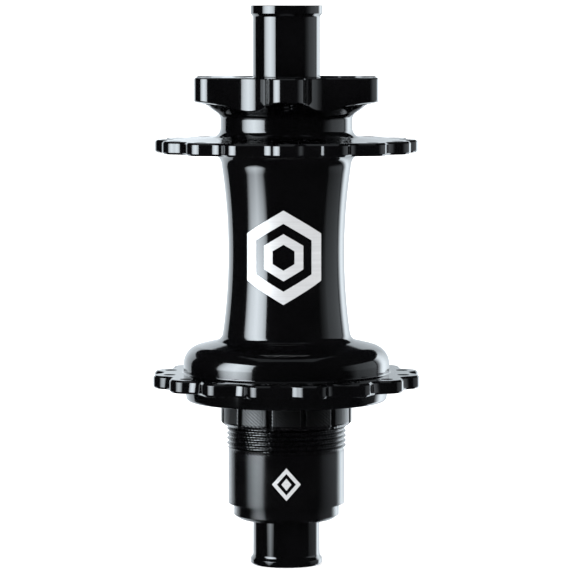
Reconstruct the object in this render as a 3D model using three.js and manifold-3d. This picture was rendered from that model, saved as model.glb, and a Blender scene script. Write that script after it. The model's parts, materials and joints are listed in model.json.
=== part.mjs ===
// Bicycle rear hub, 12 mm through axle, 148 mm over the end caps, six-bolt disc mount.
// Millimetres. The axle is the z axis, z = 0 is the drive-side end face and the front of the hub is -y.

import * as THREE from 'three';
import { mergeVertices } from 'three/addons/utils/BufferGeometryUtils.js';
import Module from 'manifold-3d';

const wasm = await Module();
wasm.setup();

// ---- driving dimensions ----

const HUB_LENGTH = 148;
const SIDES = 36;
const BEARING_SIDES = 18; // divides SIDES, so seats and races line up facet for facet
const FIT = 0.03; // radial gap left at every press or slide fit
const JOIN = 0.02; // gap left between faces that touch along the axle

const AXLE = { radius: 7.5, shoulder: 8.75, bore: 6.1, bottom: 4, top: 144 };
const CAP = { tube: 8.85, lip: 9.5, foot: 9.1, dustFlange: 12.6 };
const O_RING = { radius: 7.22, thickness: 0.27, fromEnd: 9 };

const WIDE_BEARING = { outer: 14, pitch: 10.75, width: 7, ball: 1.45, balls: 8 };
const SLIM_BEARING = { outer: 12, pitch: 9.75, width: 5, ball: 1.05, balls: 8 };
const BEARING_BOTTOMS = { freehubEnd: 13.2, freehubInner: 46.5, drive: 58.6, brake: 121 };

const ROTOR_MOUNT = {
  face: 129.2,
  bottom: 123.1,
  lobes: 6,
  boltCircle: 22,
  lobeRadius: 5,
  valley: 19.5,
  bolt: 2.1,
};
const NECK = { radius: 17.45, top: 119.2 };
const BRAKE_FLANGE = { top: 112.7, bottom: 109.3, radius: 34.7, valley: 32.2, holePhase: 0 };
const DRIVE_FLANGE = { top: 50.95, bottom: 47.5, radius: 35.7, valley: 33, holePhase: 11.25 };
const SPOKES = { perSide: 16, circle: 31.4, holeRadius: 1.3 };
const NOTCH_RADIUS = 4.6;
const WAIST = { radius: 15.35, height: 83, bow: 151, top: 105, bottom: 61.6 };
const BULB = { radius: 27.3, corner: 57.34, shoulder: 59.76 };
const COLLAR = { topRadius: 27.05, radius: 26.5, bottom: 43.6, rounding: 1 };
const SHELL_BORE = { tube: 12.6, seat: 14 + FIT, web: 15.6, ringSeat: 23.05, ringTop: 55.6 };

const RATCHET = { teeth: 115, tip: 19.6, root: 20.55, outer: 23, bottom: 46, top: 55.5 };
const FREEHUB = {
  bottom: 12.2,
  top: 54.3,
  end: 12.45,
  step: 13.97,
  barrel: 15.4,
  threadBottom: 30.8,
  threadTop: 37.2,
  threadRoot: 15.2,
  threadCrest: 15.8,
  threadPitch: 1.28,
  splineTop: 43.3,
  spline: 17.35,
  splineRoot: 16.4,
  splines: 12,
  neck: 17.2,
  ratchet: 18.4,
};
const PAWL = {
  count: 6,
  pivotRadius: 16.55,
  heel: 1.45,
  tipRadius: 19.3,
  tipAngle: 17.5,
  thickness: 1.5,
  bottom: 47.1,
  height: 6.5,
};
const LIP_SEAL = { inner: 17.28, outer: 22.85, bottom: 44.1, top: 45.6 };

const group = new THREE.Group();
group.name = 'rear_hub';

// ---- solids ----

function solid(geometry) {
  const shape = geometry.clone();
  shape.deleteAttribute('normal');
  shape.deleteAttribute('uv');
  const merged = mergeVertices(shape, 1e-5);
  const corners = merged.attributes.position.array;
  const index = Array.from(merged.index.array);
  let volume = 0;
  for (let i = 0; i < index.length; i += 3) {
    const [a, b, c] = [0, 1, 2].map((k) => new THREE.Vector3().fromArray(corners, 3 * index[i + k]));
    volume += a.dot(b.cross(c)) / 6;
  }
  if (volume < 0) index.reverse();
  const vertProperties = new Float32Array(corners);
  const triVerts = new Uint32Array(index);
  return new wasm.Manifold(new wasm.Mesh({ numProp: 3, vertProperties, triVerts }));
}

function addPart(name, shape, finish, position = [0, 0, 0]) {
  const mesh = shape.getMesh();
  const geometry = new THREE.BufferGeometry();
  geometry.setAttribute('position', new THREE.BufferAttribute(new Float32Array(mesh.vertProperties), 3));
  geometry.setIndex(new THREE.BufferAttribute(new Uint32Array(mesh.triVerts), 1));
  geometry.computeVertexNormals();
  const part = new THREE.Mesh(geometry, new THREE.MeshStandardMaterial(finish));
  part.name = name;
  part.position.set(...position);
  group.add(part);
}

const finishes = {
  shellAnodised: { color: 0x0b0c0e, roughness: 0.16, metalness: 0.85 },
  capAnodised: { color: 0x0d0e10, roughness: 0.14, metalness: 0.85 },
  freehubAnodised: { color: 0x121316, roughness: 0.34, metalness: 0.85 },
  axleAluminium: { color: 0x9a9c9f, roughness: 0.35, metalness: 1 },
  bearingSteel: { color: 0xb8babd, roughness: 0.18, metalness: 1 },
  toolSteel: { color: 0x6f7276, roughness: 0.3, metalness: 1 },
  springSteel: { color: 0x8b8f94, roughness: 0.28, metalness: 1 },
  sealRubber: { color: 0x141414, roughness: 0.7, metalness: 0 },
};

// Turns a closed [radius, z] outline about the axle. The first corner faces the front of the hub.
function turned(outline, sides) {
  const points = [...outline, outline[0]].map(([radius, z]) => new THREE.Vector2(radius, z));
  return solid(new THREE.LatheGeometry(points, sides).rotateX(Math.PI / 2));
}

function tube(inner, outer, bottom, top, sides) {
  return turned([[inner, bottom], [outer, bottom], [outer, top], [inner, top]], sides);
}

function extruded(points, bottom, top) {
  const shape = new THREE.Shape(points.map(([x, y]) => new THREE.Vector2(x, y)));
  const geometry = new THREE.ExtrudeGeometry(shape, { depth: top - bottom, bevelEnabled: false });
  return solid(geometry.translate(0, 0, bottom));
}

function rod(topRadius, bottomRadius, bottom, top, sides) {
  const geometry = new THREE.CylinderGeometry(topRadius, bottomRadius, top - bottom, sides);
  return solid(geometry.rotateX(Math.PI / 2).translate(0, 0, (top + bottom) / 2));
}

function union(shapes) {
  return shapes.reduce((whole, shape) => whole.add(shape));
}

// Copies a shape round the axle, the first at `phase` degrees from the front.
function ringOf(count, phase, radius, shape) {
  return union(
    Array.from({ length: count }, (_, k) => {
      const angle = phase + (360 * k) / count;
      return shape.translate([0, -radius, 0]).rotate([0, 0, angle]);
    }),
  );
}

function polar(radius, degrees) {
  const angle = THREE.MathUtils.degToRad(degrees);
  return [radius * Math.cos(angle), radius * Math.sin(angle)];
}

function arc(center, radius, from, to, steps) {
  return Array.from({ length: steps + 1 }, (_, i) => {
    const [x, y] = polar(radius, from + ((to - from) * i) / steps);
    return [center[0] + x, center[1] + y];
  });
}

// Rounds the corner at `at` between `before` and `after` with an arc of the given radius.
function rounded(before, at, after, radius, steps) {
  const [a, b, c] = [before, at, after].map((p) => new THREE.Vector2(...p));
  const inward = a.clone().sub(b).normalize();
  const outward = c.clone().sub(b).normalize();
  const half = Math.acos(THREE.MathUtils.clamp(inward.dot(outward), -1, 1)) / 2;
  const center = inward.clone().add(outward).normalize().multiplyScalar(radius / Math.sin(half)).add(b);
  const start = inward.clone().multiplyScalar(radius / Math.tan(half)).add(b).sub(center);
  const finish = outward.clone().multiplyScalar(radius / Math.tan(half)).add(b).sub(center);
  const from = THREE.MathUtils.radToDeg(start.angle());
  const sweep = ((THREE.MathUtils.radToDeg(finish.angle()) - from + 540) % 360) - 180;
  return arc([center.x, center.y], radius, from, from + sweep, steps);
}

// ---- bearings ----

function ballGroove(bearing, side) {
  const reach = bearing.ball + (side < 0 ? 0.18 : 0.5);
  const shoulder = bearing.pitch + side * bearing.ball * 0.8;
  const middle = bearing.width / 2;
  return [
    [shoulder, middle - bearing.ball * 0.86],
    [bearing.pitch + side * reach, middle],
    [shoulder, middle + bearing.ball * 0.86],
  ];
}

function innerRace(bearing) {
  const shoulder = bearing.pitch - bearing.ball * 0.8;
  const bore = AXLE.radius + FIT;
  const outline = [[bore, 0], [shoulder, 0], ...ballGroove(bearing, -1), [shoulder, bearing.width]];
  return turned([...outline, [bore, bearing.width]], BEARING_SIDES);
}

function outerRace(bearing) {
  const shoulder = bearing.pitch + bearing.ball * 0.8;
  const outline = [[bearing.outer, 0], [shoulder, 0], ...ballGroove(bearing, 1), [shoulder, bearing.width]];
  return turned([...outline, [bearing.outer, bearing.width]], BEARING_SIDES);
}

function ballCage(bearing) {
  const middle = bearing.width / 2;
  const ribbon = tube(bearing.pitch - 0.35, bearing.pitch + 0.35, middle - 0.6, middle + 0.6, BEARING_SIDES);
  const ball = solid(new THREE.OctahedronGeometry(bearing.ball, 1)).translate([0, 0, middle]);
  return ribbon.add(ringOf(bearing.balls, 0, bearing.pitch, ball));
}

function shield(bearing, fromBottom) {
  const inner = bearing.pitch - bearing.ball * 0.8 + 0.15;
  const outer = bearing.pitch + bearing.ball * 0.8 - FIT;
  return tube(inner, outer, fromBottom, fromBottom + 0.45, BEARING_SIDES);
}

function addBearing(place, bearing, bottom) {
  const position = [0, 0, bottom];
  addPart(`inner_race_${place}`, innerRace(bearing), finishes.bearingSteel, position);
  addPart(`outer_race_${place}`, outerRace(bearing), finishes.bearingSteel, position);
  addPart(`ball_cage_${place}`, ballCage(bearing), finishes.bearingSteel, position);
  addPart(`shield_lower_${place}`, shield(bearing, 0.2), finishes.sealRubber, position);
  addPart(`shield_upper_${place}`, shield(bearing, bearing.width - 0.65), finishes.sealRubber, position);
}

// ---- axle, end caps and spacers ----

function addAxle() {
  const lowerStop = BEARING_BOTTOMS.drive + WIDE_BEARING.width + JOIN;
  const upperStop = BEARING_BOTTOMS.brake - JOIN;
  const body = turned(
    [
      [AXLE.bore, AXLE.bottom],
      [AXLE.radius, AXLE.bottom],
      [AXLE.radius, lowerStop],
      [AXLE.shoulder, lowerStop],
      [AXLE.shoulder, upperStop],
      [AXLE.radius, upperStop],
      [AXLE.radius, AXLE.top],
      [AXLE.bore, AXLE.top],
    ],
    BEARING_SIDES,
  );
  const grooves = [O_RING.fromEnd, HUB_LENGTH - O_RING.fromEnd].map((z) =>
    tube(O_RING.radius - 0.3, AXLE.radius + 1, z - 0.35, z + 0.35, BEARING_SIDES),
  );
  addPart('axle', body.subtract(union(grooves)), finishes.axleAluminium);
}

function addORing(name, z) {
  const section = arc([O_RING.radius, 0], O_RING.thickness, 0, 288, 4);
  addPart(name, turned(section, BEARING_SIDES), finishes.sealRubber, [0, 0, z]);
}

function addDriveCap() {
  const top = BEARING_BOTTOMS.freehubEnd - JOIN;
  const outline = [
    [AXLE.bore, 0],
    [CAP.foot, 0],
    [CAP.lip, 0.4],
    [CAP.lip, 1.5],
    ...arc([CAP.tube + 1.4, 2.95], 1.4, 242, 180, 2),
    [CAP.tube, 12.35],
    [10.45, 12.45],
    [10.45, top - 0.1],
    [8.7, top - 0.1],
    [8.7, top],
    [AXLE.radius + FIT, top],
    [AXLE.radius + FIT, AXLE.bottom - JOIN],
    [AXLE.bore, AXLE.bottom - JOIN],
  ];
  addPart('end_cap_drive', turned(outline, SIDES), finishes.capAnodised);
}

function addBrakeCap() {
  const bottom = BEARING_BOTTOMS.brake + WIDE_BEARING.width + JOIN;
  const outline = [
    [AXLE.radius + FIT, bottom],
    [9.2, bottom],
    [9.2, bottom + 0.25],
    [CAP.dustFlange, bottom + 0.25],
    [CAP.dustFlange, bottom + 0.95],
    [CAP.tube, bottom + 1.05],
    [CAP.tube, HUB_LENGTH - 2.9],
    [CAP.lip, HUB_LENGTH - 2.1],
    [CAP.lip, HUB_LENGTH - 0.12],
    [CAP.lip - 0.12, HUB_LENGTH],
    [AXLE.bore, HUB_LENGTH],
    [AXLE.bore, AXLE.top + JOIN],
    [AXLE.radius + FIT, AXLE.top + JOIN],
  ];
  addPart('end_cap_brake', turned(outline, SIDES), finishes.capAnodised);
}

function addSpacers() {
  const { freehubEnd, freehubInner, drive } = BEARING_BOTTOMS;
  const bore = AXLE.radius + FIT;
  const longBottom = freehubEnd + SLIM_BEARING.width + JOIN;
  const shortBottom = freehubInner + WIDE_BEARING.width + JOIN;
  const long = tube(bore, 8.75, longBottom, freehubInner - JOIN, BEARING_SIDES);
  const short = tube(bore, 9, shortBottom, drive - JOIN, BEARING_SIDES);
  addPart('spacer_tube', long, finishes.axleAluminium);
  addPart('spacer_ring', short, finishes.axleAluminium);
}

// ---- hub shell ----

function flangeEdge(flange) {
  return [
    [flange.radius - 0.5, flange.top],
    [flange.radius, flange.top - 0.5],
    [flange.radius, flange.bottom + 0.5],
    [flange.radius - 0.5, flange.bottom],
  ];
}

function waist() {
  const centre = WAIST.radius + WAIST.bow;
  return [WAIST.top, 94, WAIST.height, 72, WAIST.bottom].map((z) => [
    centre - Math.sqrt(WAIST.bow ** 2 - (z - WAIST.height) ** 2),
    z,
  ]);
}

function shellOutside() {
  const mountTip = ROTOR_MOUNT.boltCircle + ROTOR_MOUNT.lobeRadius + 0.3;
  const coneTop = [21.8, 122];
  const neckTop = [NECK.radius, NECK.top];
  const neckBottom = [NECK.radius, BRAKE_FLANGE.top + 0.7];
  const curve = waist();
  const [waistTop, waistBottom] = [curve[0], curve[curve.length - 1]];
  const bulbCorner = [BULB.radius, BULB.corner];
  const bulbFoot = [BULB.radius, DRIVE_FLANGE.top];
  const collarTop = [COLLAR.topRadius, DRIVE_FLANGE.bottom];
  const collarCorner = [COLLAR.radius, COLLAR.bottom];
  return [
    [mountTip, ROTOR_MOUNT.face],
    [mountTip, ROTOR_MOUNT.bottom],
    ...rounded([mountTip, ROTOR_MOUNT.bottom], coneTop, neckTop, 2, 1),
    ...rounded(coneTop, neckTop, neckBottom, 2, 2),
    ...rounded(neckTop, neckBottom, [26, BRAKE_FLANGE.top], 2.6, 3),
    [26, BRAKE_FLANGE.top],
    ...flangeEdge(BRAKE_FLANGE),
    ...rounded([26, BRAKE_FLANGE.bottom], [waistTop[0], BRAKE_FLANGE.bottom], waistTop, 3.4, 2),
    ...curve,
    ...rounded(waistBottom, [waistBottom[0] + 0.3, BULB.shoulder], bulbCorner, 2.5, 3),
    ...rounded([waistBottom[0], BULB.shoulder], bulbCorner, bulbFoot, 5, 5),
    bulbFoot,
    ...flangeEdge(DRIVE_FLANGE),
    collarTop,
    ...rounded(collarTop, collarCorner, [20, COLLAR.bottom], COLLAR.rounding, 2),
  ];
}

function shellInside() {
  const driveSeatTop = BEARING_BOTTOMS.drive + WIDE_BEARING.width + JOIN;
  const brakeSeatBottom = BEARING_BOTTOMS.brake - JOIN;
  return [
    [SHELL_BORE.ringSeat, COLLAR.bottom],
    [SHELL_BORE.ringSeat, SHELL_BORE.ringTop],
    [SHELL_BORE.web, SHELL_BORE.ringTop],
    [SHELL_BORE.web, BEARING_BOTTOMS.drive - 0.5],
    [SHELL_BORE.seat, BEARING_BOTTOMS.drive - 0.5],
    [SHELL_BORE.seat, driveSeatTop],
    [SHELL_BORE.tube, driveSeatTop],
    [SHELL_BORE.tube, brakeSeatBottom],
    [SHELL_BORE.seat, brakeSeatBottom],
    [SHELL_BORE.seat, ROTOR_MOUNT.face],
  ];
}

// Lobes on the bolt circle joined by concave valleys that meet them tangentially.
function rotorMountOutline() {
  const { lobes, boltCircle, lobeRadius, valley } = ROTOR_MOUNT;
  const half = 180 / lobes;
  const along = boltCircle * Math.cos(THREE.MathUtils.degToRad(half));
  const excess = boltCircle ** 2 + valley ** 2 - 2 * valley * along - lobeRadius ** 2;
  const valleyRadius = excess / (2 * (lobeRadius + along - valley));
  const valleyCentre = valley + valleyRadius;
  const across = boltCircle * Math.sin(THREE.MathUtils.degToRad(half));
  const opening = THREE.MathUtils.radToDeg(Math.atan2(across, valleyCentre - along));
  const outline = [];
  for (let k = 0; k < lobes; k += 1) {
    const lobe = -90 + 2 * half * k;
    const bisector = lobe + half;
    const lean = opening + half;
    outline.push(...arc(polar(boltCircle, lobe), lobeRadius, lobe - lean, lobe + lean, 6));
    const [start, end] = [bisector + 180 + opening, bisector + 180 - opening];
    outline.push(...arc(polar(valleyCentre, bisector), valleyRadius, start, end, 4).slice(1, -1));
  }
  return outline;
}

function notches(flange, phase, taper) {
  const bottom = flange.bottom - 0.6;
  const top = flange.top + 0.6;
  const cutter = rod(NOTCH_RADIUS + taper, NOTCH_RADIUS - taper, bottom, top, 20);
  return ringOf(SPOKES.perSide, phase, flange.valley + NOTCH_RADIUS, cutter);
}

function spokeHoles(flange) {
  const hole = rod(SPOKES.holeRadius, SPOKES.holeRadius, flange.bottom - 1, flange.top + 1, 8);
  return ringOf(SPOKES.perSide, flange.holePhase, SPOKES.circle, hole);
}

function addHubShell() {
  const blank = turned([...shellOutside(), ...shellInside()], SIDES);
  const mountDisc = rod(30, 30, NECK.top - 0.5, ROTOR_MOUNT.face + 1, SIDES);
  const mountStar = extruded(rotorMountOutline(), NECK.top - 1, ROTOR_MOUNT.face + 2);
  const boltHole = rod(ROTOR_MOUNT.bolt, ROTOR_MOUNT.bolt, 119, ROTOR_MOUNT.face + 1, 10);
  const halfPitch = 180 / SPOKES.perSide;
  const cuts = [
    mountDisc.subtract(mountStar),
    ringOf(ROTOR_MOUNT.lobes, 0, ROTOR_MOUNT.boltCircle, boltHole),
    notches(BRAKE_FLANGE, BRAKE_FLANGE.holePhase + halfPitch, 0),
    notches(DRIVE_FLANGE, DRIVE_FLANGE.holePhase + halfPitch, 0.35),
    spokeHoles(BRAKE_FLANGE),
    spokeHoles(DRIVE_FLANGE),
  ];
  addPart('hub_shell', blank.subtract(union(cuts)), finishes.shellAnodised);
}

// Each tooth rises steeply on one side and runs back to the root over the rest of its pitch.
function addDriveRing() {
  const pitch = 360 / RATCHET.teeth;
  const teeth = [];
  for (let k = 0; k < RATCHET.teeth; k += 1) {
    teeth.push(polar(RATCHET.tip, k * pitch), polar(RATCHET.root, (k + 0.85) * pitch));
  }
  const hollow = extruded(teeth, RATCHET.bottom - 1, RATCHET.top + 1);
  const ring = rod(RATCHET.outer, RATCHET.outer, RATCHET.bottom, RATCHET.top, SIDES);
  addPart('drive_ring', ring.subtract(hollow), finishes.toolSteel);
}

// ---- freehub ----

function thread() {
  const turns = Math.floor((FREEHUB.threadTop - FREEHUB.threadBottom) / FREEHUB.threadPitch);
  return Array.from({ length: turns }, (_, k) => {
    const z = FREEHUB.threadBottom + k * FREEHUB.threadPitch;
    return [
      [FREEHUB.threadRoot, z],
      [FREEHUB.threadCrest, z + FREEHUB.threadPitch / 2],
    ];
  }).flat();
}

function freehubOutside() {
  return [
    [FREEHUB.end, FREEHUB.bottom],
    [FREEHUB.step, 13.2],
    [FREEHUB.step, 16.1],
    [FREEHUB.barrel, 16.35],
    [FREEHUB.barrel, FREEHUB.threadBottom - 0.3],
    ...thread(),
    [FREEHUB.threadRoot, FREEHUB.threadTop],
    [FREEHUB.splineRoot, FREEHUB.threadTop],
    [FREEHUB.spline, 38],
    [FREEHUB.spline, FREEHUB.splineTop - 0.3],
    [FREEHUB.spline - 0.3, FREEHUB.splineTop],
    [FREEHUB.neck, FREEHUB.splineTop + 0.05],
    [FREEHUB.neck, 45.7],
    [FREEHUB.ratchet, 46],
    [FREEHUB.ratchet, FREEHUB.top - 0.4],
    [FREEHUB.ratchet - 0.4, FREEHUB.top],
  ];
}

function freehubInside() {
  const endSeat = SLIM_BEARING.outer + FIT;
  const innerSeat = WIDE_BEARING.outer + FIT;
  const endSeatTop = BEARING_BOTTOMS.freehubEnd + SLIM_BEARING.width;
  return [
    [innerSeat, FREEHUB.top],
    [innerSeat, BEARING_BOTTOMS.freehubInner - JOIN],
    [endSeat + 0.07, BEARING_BOTTOMS.freehubInner - JOIN],
    [endSeat + 0.07, endSeatTop + 1.1],
    [endSeat + 0.75, endSeatTop + 1.1],
    [endSeat + 0.75, endSeatTop + 0.05],
    [endSeat, endSeatTop + 0.05],
    [endSeat, BEARING_BOTTOMS.freehubEnd - JOIN],
    [10.9, BEARING_BOTTOMS.freehubEnd - JOIN],
    [10.9, FREEHUB.bottom],
  ];
}

// Angle of the first pawl, then the pivot and the tip of that pawl before it is turned into place.
const FIRST_PAWL = -90;
const PAWL_PIVOT = [PAWL.pivotRadius, 0];
const PAWL_TIP = polar(PAWL.tipRadius, PAWL.tipAngle);

function pawlPocket() {
  const [bottom, top] = [PAWL.bottom - 0.15, PAWL.bottom + PAWL.height + 0.15];
  const socket = rod(PAWL.heel + 0.1, PAWL.heel + 0.1, bottom, top, 16);
  const opening = [
    [15.15, -0.2],
    [20, -0.2],
    [20, 9],
    polar(17.4, PAWL.tipAngle + 3.5),
    polar(15.6, PAWL.tipAngle - 2),
    [15.15, 2],
  ];
  const window = extruded(opening, bottom, top);
  return socket.translate([...PAWL_PIVOT, 0]).add(window);
}

function splineGroove() {
  const width = 1.45;
  const depth = FREEHUB.spline - FREEHUB.splineRoot;
  const box = new THREE.BoxGeometry(width, depth + 1, 8);
  return solid(box).translate([0, 0, FREEHUB.splineTop + 0.1 - 4]);
}

function addFreehub() {
  const blank = turned([...freehubOutside(), ...freehubInside()], SIDES);
  const grooves = ringOf(FREEHUB.splines, 15, FREEHUB.splineRoot + 0.98, splineGroove());
  const pockets = Array.from({ length: PAWL.count }, (_, k) =>
    pawlPocket().rotate([0, 0, FIRST_PAWL + (360 * k) / PAWL.count]),
  );
  const belowCollar = rod(30, 30, FREEHUB.threadTop + 0.01, FREEHUB.splineTop + 0.04, 8);
  const cuts = [grooves.intersect(belowCollar), ...pockets];
  addPart('freehub_body', blank.subtract(union(cuts)), finishes.freehubAnodised);
}

function pawl() {
  const lean = THREE.MathUtils.radToDeg(Math.atan2(PAWL_TIP[1] - PAWL_PIVOT[1], PAWL_TIP[0] - PAWL_PIVOT[0]));
  const length = Math.hypot(PAWL_TIP[0] - PAWL_PIVOT[0], PAWL_TIP[1] - PAWL_PIVOT[1]);
  const nose = polar(PAWL.thickness, lean + 75);
  const outline = [
    ...arc(PAWL_PIVOT, PAWL.heel, lean + 100, lean + 275, 8),
    [PAWL_PIVOT[0] + polar(length * 0.55, lean - 4)[0], PAWL_PIVOT[1] + polar(length * 0.55, lean - 4)[1]],
    PAWL_TIP,
    [PAWL_TIP[0] + nose[0], PAWL_TIP[1] + nose[1]],
  ];
  return extruded(outline, PAWL.bottom, PAWL.bottom + PAWL.height);
}

function addPawls() {
  for (let k = 0; k < PAWL.count; k += 1) {
    const angle = FIRST_PAWL + (360 * k) / PAWL.count;
    addPart(`pawl_${k + 1}`, pawl().rotate([0, 0, angle]), finishes.toolSteel);
  }
}

// A leaf spring lies flat on the pocket floor and rises under the nose of its pawl.
function pawlSpring() {
  const leaf = 0.25;
  const path = [[15.18, 1.9], [15.14, 3.4], [15.8, 4.5], [16.3, 5.2]];
  const back = path.map(([x, y]) => [x + leaf, y - 0.05]).reverse();
  return extruded([...path, ...back], PAWL.bottom + 1.2, PAWL.bottom + PAWL.height - 1.2);
}

function addSprings() {
  for (let k = 0; k < PAWL.count; k += 1) {
    const angle = FIRST_PAWL + (360 * k) / PAWL.count;
    addPart(`pawl_spring_${k + 1}`, pawlSpring().rotate([0, 0, angle]), finishes.springSteel);
  }
}

function addLipSeal() {
  const { inner, outer, bottom, top } = LIP_SEAL;
  const outline = [
    [inner, bottom],
    [outer, bottom + 0.3],
    [outer, top - 0.3],
    [outer - 1.2, top - 0.5],
    [inner, top],
  ];
  addPart('lip_seal', turned(outline, SIDES), finishes.sealRubber);
}

function addSnapRing() {
  const bottom = BEARING_BOTTOMS.freehubEnd + SLIM_BEARING.width + 0.1;
  const ring = tube(11.2, SLIM_BEARING.outer + 0.65, bottom, bottom + 0.9, BEARING_SIDES);
  const gap = solid(new THREE.BoxGeometry(3, 4, 4)).translate([0, -SLIM_BEARING.outer, bottom]);
  addPart('snap_ring', ring.subtract(gap), finishes.springSteel);
}

// ---- assembly ----

addAxle();
addORing('o_ring_drive', O_RING.fromEnd);
addORing('o_ring_brake', HUB_LENGTH - O_RING.fromEnd);
addDriveCap();
addBrakeCap();
addSpacers();
addHubShell();
addDriveRing();
addFreehub();
addPawls();
addSprings();
addLipSeal();
addSnapRing();
addBearing('freehub_end', SLIM_BEARING, BEARING_BOTTOMS.freehubEnd);
addBearing('freehub_inner', WIDE_BEARING, BEARING_BOTTOMS.freehubInner);
addBearing('drive', WIDE_BEARING, BEARING_BOTTOMS.drive);
addBearing('brake', WIDE_BEARING, BEARING_BOTTOMS.brake);

export default group;
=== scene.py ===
"""Bicycle rear hub: finished surfaces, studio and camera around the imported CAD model.

Lengths are millimetres in the CAD frame (axle along z, front at -y) until a mesh is made in metres.
"""

import json
import math

import bmesh
import bpy
import numpy as np
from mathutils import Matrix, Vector


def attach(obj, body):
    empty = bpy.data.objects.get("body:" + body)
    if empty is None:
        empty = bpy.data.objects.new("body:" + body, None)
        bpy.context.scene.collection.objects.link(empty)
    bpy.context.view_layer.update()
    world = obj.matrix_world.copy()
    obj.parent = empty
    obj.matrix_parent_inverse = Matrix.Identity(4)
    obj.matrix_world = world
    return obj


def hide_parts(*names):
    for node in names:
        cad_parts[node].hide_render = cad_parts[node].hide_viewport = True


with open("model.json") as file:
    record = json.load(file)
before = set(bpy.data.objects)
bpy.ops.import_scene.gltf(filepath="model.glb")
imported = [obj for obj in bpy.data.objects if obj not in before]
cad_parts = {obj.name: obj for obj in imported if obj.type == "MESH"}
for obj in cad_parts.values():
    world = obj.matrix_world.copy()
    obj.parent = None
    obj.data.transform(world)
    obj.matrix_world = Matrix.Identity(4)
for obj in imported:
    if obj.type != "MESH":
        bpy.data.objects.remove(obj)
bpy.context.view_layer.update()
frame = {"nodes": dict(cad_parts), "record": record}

# ---- driving dimensions ----

MM = 0.001
COLUMNS = 480  # round the shell: 30 to each spoke lobe, 80 to each rotor lobe
ARC_STEP = 12  # degrees between points on a rounded edge
HUB_LENGTH = 148.0

AXLE = {"radius": 7.5, "bore": 6.1, "bottom": 4.0, "top": 144.0}
O_RING_GROOVE = {"from_end": 9.0, "root": 6.92, "half_width": 0.35}
CAP = {
    "tube": 8.85,
    "lip": 9.5,
    "foot": 9.1,
    "dust_flange": 12.6,
    "drive_top": 13.18,
    "brake_bottom": 128.02,
}
ROTOR = {
    "face": 129.2,
    "rim_bottom": 123.1,
    "knee": (21.8, 122.0),
    "lobes": 6,
    "circle": 22.0,
    "lobe": 5.0,
    "valley": 19.5,
    "chamfer": 0.3,
    "bolt": 2.1,
    "bolt_depth": 10.7,
    "bolt_pitch": 0.8,
}
NECK = {"radius": 17.45, "top": 119.2, "bottom": 113.4, "cone_start": 18.6}
BRAKE_FLANGE = {
    "top": 112.7,
    "bottom": 109.3,
    "radius": 34.7,
    "valley": 32.2,
    "lobe_phase": 0.0,
    "taper": 0.0,
}
DRIVE_FLANGE = {
    "top": 50.95,
    "bottom": 47.5,
    "radius": 35.7,
    "valley": 33.0,
    "lobe_phase": 11.25,
    "taper": 0.18,
}
FLANGE_CHAMFER = 0.5
SPOKES = {"count": 16, "circle": 31.4, "hole": 1.3, "countersink": 0.35, "lobe": 5.0}
WAIST = {"radius": 15.35, "height": 83.0, "bow": 151.0, "top": 105.6, "bottom": 61.6}
BULB = {"radius": 27.3, "corner": 57.34, "shoulder": 59.76}
COLLAR = {"top_radius": 27.05, "radius": 26.5, "bottom": 43.6}
FLANGE_FLAT = {"brake": 26.2, "drive": 29.0}  # radius where each flange's flat face begins
BORE = {"seat": 14.03, "tube": 12.6, "web": 15.6, "ring": 23.05, "ring_top": 55.6}
SEATS = {"drive_bottom": 58.1, "drive_top": 65.62, "brake_bottom": 120.98}

FREEHUB = {
    "bottom": 12.2,
    "end": 12.45,
    "step": 13.97,
    "step_bottom": 13.2,
    "step_top": 16.1,
    "barrel": 15.4,
    "thread_bottom": 30.8,
    "thread_top": 37.2,
    "thread_root": 15.2,
    "thread_crest": 15.8,
    "thread_pitch": 1.28,
    "spline": 17.35,
    "spline_root": 16.4,
    "spline_bottom": 38.0,
    "spline_top": 43.3,
    "neck": 17.2,
    "ratchet": 18.4,
    "ratchet_bottom": 46.0,
    "top": 54.3,
}
SPLINES = {"count": 12, "groove": 1.45}
MARKS = {
    "shell_z": 82.5,
    "shell_height": 24.6,
    "shell_slimness": 0.98,
    "shell_turn": -2.8,
    "driver_z": 23.0,
    "proud": 0.03,
    "sunk": -0.1,
    "steps": 14,
}
TOOL_LINES = {"pitch": 0.9, "starts": 90}
PAWL = {
    "count": 6,
    "pivot": 16.55,
    "socket": 1.55,
    "bottom": 46.95,
    "top": 53.75,
    "tip_angle": 17.5,
}
FLOOR_SIZE = 400.0

COAT_IOR = 1.5
ANODISED_BLACK = ((0.0012, 0.0012, 0.0014), (0.0022, 0.0022, 0.0025))
COOL_WHITE = (0.86, 0.94, 1.0)

# ---- outlines ----


def rounded_path(corners):
    """Points along (x, z, radius) corners, each corner with a radius turned into an arc."""
    points = []
    for i, (x, z, radius) in enumerate(corners):
        if radius == 0 or i in (0, len(corners) - 1):
            points.append((x, z))
            continue
        corner = Vector((x, z))
        before = (Vector(corners[i - 1][:2]) - corner).normalized()
        after = (Vector(corners[i + 1][:2]) - corner).normalized()
        half = before.angle(after) / 2
        centre = corner + (before + after).normalized() * (radius / math.sin(half))
        start = corner + before * (radius / math.tan(half)) - centre
        sweep = start.angle_signed(corner + after * (radius / math.tan(half)) - centre)
        steps = max(2, math.ceil(abs(math.degrees(sweep)) / ARC_STEP))
        for k in range(steps + 1):
            turn = -sweep * k / steps
            x = start.x * math.cos(turn) - start.y * math.sin(turn)
            z = start.x * math.sin(turn) + start.y * math.cos(turn)
            points.append((centre.x + x, centre.y + z))
    return points


def column_angles(columns):
    """Evenly spaced angles round the axle, starting at the front."""
    return np.radians(-90 + 360 * np.arange(columns) / columns)


def ring(x, y, z):
    return np.stack([x, y, np.broadcast_to(z, x.shape)], axis=1)


def circle(radius, z, columns=COLUMNS):
    angle = column_angles(columns)
    return ring(radius * np.cos(angle), radius * np.sin(angle), z)


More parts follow.
